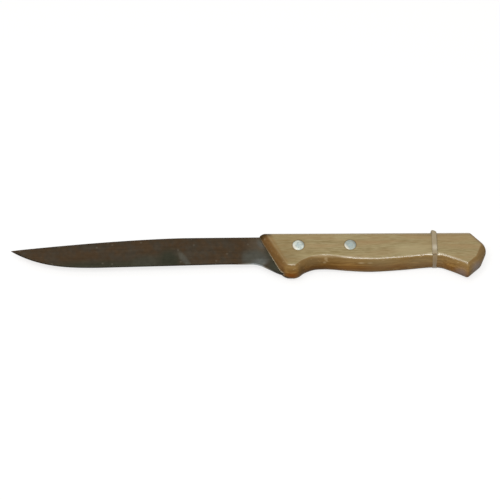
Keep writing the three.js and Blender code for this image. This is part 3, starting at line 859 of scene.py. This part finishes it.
# Silicone rubber, extruded clear and cut into a band: milky and greyish, lets some of the wood show
# through, with a soft shine and a painted highlight on the upper run.
def siliconeExtruded():
    material, tree, coords, inMm = startMaterial("siliconeExtruded")
    streaks = streakNoise(tree, inMm, band["streakMm"], 2)
    facing = addNode(tree, "ShaderNodeSeparateXYZ", inputs={"Vector": coords.outputs["Normal"]})
    fromHighlight = addNode(tree, "ShaderNodeVectorMath", {"operation": "DISTANCE"}, {
        0: inMm, 1: band["highlightSpot"]})
    rubber = layer(tree, band["milky"], band["clear"], streaks)
    rubber = layer(tree, rubber, band["low"], (facing.outputs["Y"], band["runs"]["low"]))
    rubber = layer(tree, rubber, band["paintedHighlight"], (fromHighlight, band["runs"]["paintedHighlight"]))
    low, high = band["roughness"]
    rough = addNode(tree, "ShaderNodeMapRange", inputs={"Value": streaks, "To Min": low, "To Max": high})
    bump = addNode(tree, "ShaderNodeBump", inputs={
        "Height": streaks, "Strength": 0.4, "Distance": band["streakDepth"] * mm})
    shader = addNode(tree, "ShaderNodeBsdfPrincipled", inputs={
        "Base Color": rubber, "Roughness": rough, "IOR": 1.41,
        "Transmission Weight": band["transmission"], "Normal": bump})
    addNode(tree, "ShaderNodeOutputMaterial", inputs={"Surface": shader})
    return material


def waistSection():  # places (y, z) round the waist, each with the direction it faces
    rimTurn = handle["rimTurn"]
    sinTurn, cosTurn = math.sin(rimTurn), math.cos(rimTurn)
    ends = [(1, knife["backLine"], band["backReach"]), (-1, band["waistLine"], band["waistReach"])]
    creases = [line - side * reach for side, line, reach in ends]
    places = []
    for end, (side, line, reach) in enumerate(ends):
        bow = reach * sinTurn / (half * (1 - cosTurn))
        for i in range(band["turnSteps"] + 1):
            turn = lerp(-math.pi / 2, math.pi / 2, i / band["turnSteps"])
            angle = clamp(math.atan2(math.sin(turn), bow * math.cos(turn)), -rimTurn, rimTurn)
            y = line - side * reach * (1 - math.cos(angle)) / (1 - cosTurn)
            z = side * half * math.sin(angle) / sinTurn
            places.append(((y, z), (side * math.cos(turn), side * math.sin(turn))))
        for i in range(1, band["runSteps"]):  # straight run along a flat side
            y = lerp(creases[end], creases[1 - end], i / band["runSteps"])
            places.append(((y, side * half), (0, side)))
    return places


def makeBand():
    rings = []
    for (y, z), (faceY, faceZ) in waistSection():
        under = 1 - (y - band["waistLine"] - band["waistReach"]) / band["thinRun"] if z < 0 else 0
        low = clamp(max(-band["thinTurn"] * faceY, under))  # pressed thin round the belly
        back = clamp(faceY) ** 2
        thickness = lerp(lerp(band["thickness"], band["thin"], low), band["backThickness"], back)
        width = lerp(lerp(band["width"], band["lowWidth"], low), band["backWidth"], back)
        middleX = band["middle"] - band["lean"] * z / half
        ring = []
        for i in range(band["sectionSteps"]):
            turn = 2 * math.pi * (i + 0.5) / band["sectionSteps"]
            across, depth = [
                math.copysign(abs(v) ** band["squareness"], v) for v in (math.cos(turn), math.sin(turn))]
            outward = (1 + depth) / 2
            ridge = back * outward  # drawn to a ridge over the back
            out = band["gap"] + thickness * outward
            x = middleX + across * width / 2 * (1 - band["ridgeTaper"] * ridge) - band["ridgeShift"] * ridge
            ring.append((x, y + faceY * out, z + faceZ * out))
        rings.append(ring)
    return makeObject("elastic_band_silicone", loft(rings, looped=True))


finishPiece(makeBand(), siliconeExtruded(), "elastic_band")


# Studio: a pale sweep all round, a wide soft lamp above the camera, a weaker one overhead and an even,
# slightly warm room

studio = {
    "floorColour": "#8f8f8f", "glow": "#ffffff", "whiteness": 0.77,
    "floorRadius": 2500, "wallHeight": 700, "coveSteps": 12, "sweepSteps": 72,
    "room": "#aaa59c", "roomStrength": 1,
    "lamps": {
        "frontSoftbox": {"place": (-0.06, -0.4, 1.0), "size": (0.9, 0.28), "watts": 7, "colour": "#ffffff"},
        "topSoftbox": {"place": (-0.1, 0, 1.1), "size": (0.5, 0.5), "watts": 1.5, "colour": "#eef5ff"},
    },
}


# Matt paper: seen directly or mirrored it is lifted to white, and it keeps the shadow
def paperMattPale():
    material, tree, *_ = startMaterial("paperMattPale")
    ray = addNode(tree, "ShaderNodeLightPath")
    seen = ray.outputs["Is Camera Ray"]
    for kind in ("Is Glossy Ray", "Is Transmission Ray"):
        seen = addNode(tree, "ShaderNodeMath", {"operation": "MAXIMUM"}, {0: seen, 1: ray.outputs[kind]})
    lift = addNode(tree, "ShaderNodeMath", {"operation": "MULTIPLY"}, {0: seen, 1: studio["whiteness"]})
    shader = addNode(tree, "ShaderNodeBsdfPrincipled", inputs={
        "Base Color": studio["floorColour"], "Roughness": 1, "Specular IOR Level": 0,
        "Emission Color": studio["glow"], "Emission Strength": lift})
    addNode(tree, "ShaderNodeOutputMaterial", inputs={"Surface": shader})
    return material


def makeSweep():
    profile = [(studio["floorRadius"], 0)]
    for i in range(1, studio["coveSteps"] + 1):
        turn = math.pi / 2 * i / studio["coveSteps"]
        profile.append((studio["floorRadius"] + studio["wallHeight"] * math.sin(turn),
                        studio["wallHeight"] * (1 - math.cos(turn))))
    steps = studio["sweepSteps"]
    points = []
    for radius, z in profile:
        for i in range(steps):
            turn = 2 * math.pi * i / steps
            points.append((radius * math.cos(turn), radius * math.sin(turn), z))
    faces = [tuple(range(steps))]
    for ring in range(len(profile) - 1):
        for i in range(steps):
            j, low = (i + 1) % steps, ring * steps
            faces.append((low + j, low + i, low + steps + i, low + steps + j))
    sweep = makeObject("studio_sweep", (points, faces), Vector((0, 0, 0)))
    sweep.data.shade_smooth()
    sweep.data.materials.append(paperMattPale())


def makeLamps():
    for name, lamp in studio["lamps"].items():
        light = bpy.data.lights.new(name, "AREA")
        light.shape = "RECTANGLE"
        light.size, light.size_y = lamp["size"]
        light.energy = lamp["watts"]
        light.color = linear(lamp["colour"])[:3]
        made = bpy.data.objects.new(name, light)
        made.location = lamp["place"]
        made.rotation_euler = (-Vector(lamp["place"])).to_track_quat("-Z", "Y").to_euler()
        bpy.context.scene.collection.objects.link(made)
    world = bpy.data.worlds.new("evenRoom")
    world.use_nodes = True
    background = world.node_tree.nodes["Background"].inputs
    background["Color"].default_value = linear(studio["room"])
    background["Strength"].default_value = studio["roomStrength"]
    bpy.context.scene.world = world


# Camera: from the side of the edge, 56 degrees up, through a long lens

view = {
    "elevation": math.radians(56), "roll": math.radians(0.45), "distance": 1.6, "target": (0, 0, 0.00845),
    "mmPerPixel": 0.5995, "imagePixels": 500, "targetPixel": (248.334, 256.79),
    "sensor": 36, "clip": (0.05, 20),
}


def makeCamera():
    elevation, roll, pixels = view["elevation"], view["roll"], view["imagePixels"]
    back = Vector((0, -math.cos(elevation), math.sin(elevation)))
    level, rise = Vector((1, 0, 0)), Vector((0, math.sin(elevation), math.cos(elevation)))
    right = level * math.cos(roll) - rise * math.sin(roll)
    up = level * math.sin(roll) + rise * math.cos(roll)
    data = bpy.data.cameras.new("camera")
    data.sensor_width = view["sensor"]
    data.lens = view["distance"] / (view["mmPerPixel"] * mm) * view["sensor"] / pixels
    data.shift_x = 0.5 - view["targetPixel"][0] / pixels
    data.shift_y = view["targetPixel"][1] / pixels - 0.5
    data.clip_start, data.clip_end = view["clip"]
    camera = bpy.data.objects.new("camera", data)
    turned = Matrix((right, up, back)).transposed().to_4x4()
    camera.matrix_world = Matrix.Translation(Vector(view["target"]) + back * view["distance"]) @ turned
    bpy.context.scene.collection.objects.link(camera)
    bpy.context.scene.camera = camera


makeSweep()
makeLamps()
makeCamera()
bpy.context.scene.view_settings.view_transform = "Standard"
print("studio and camera set")
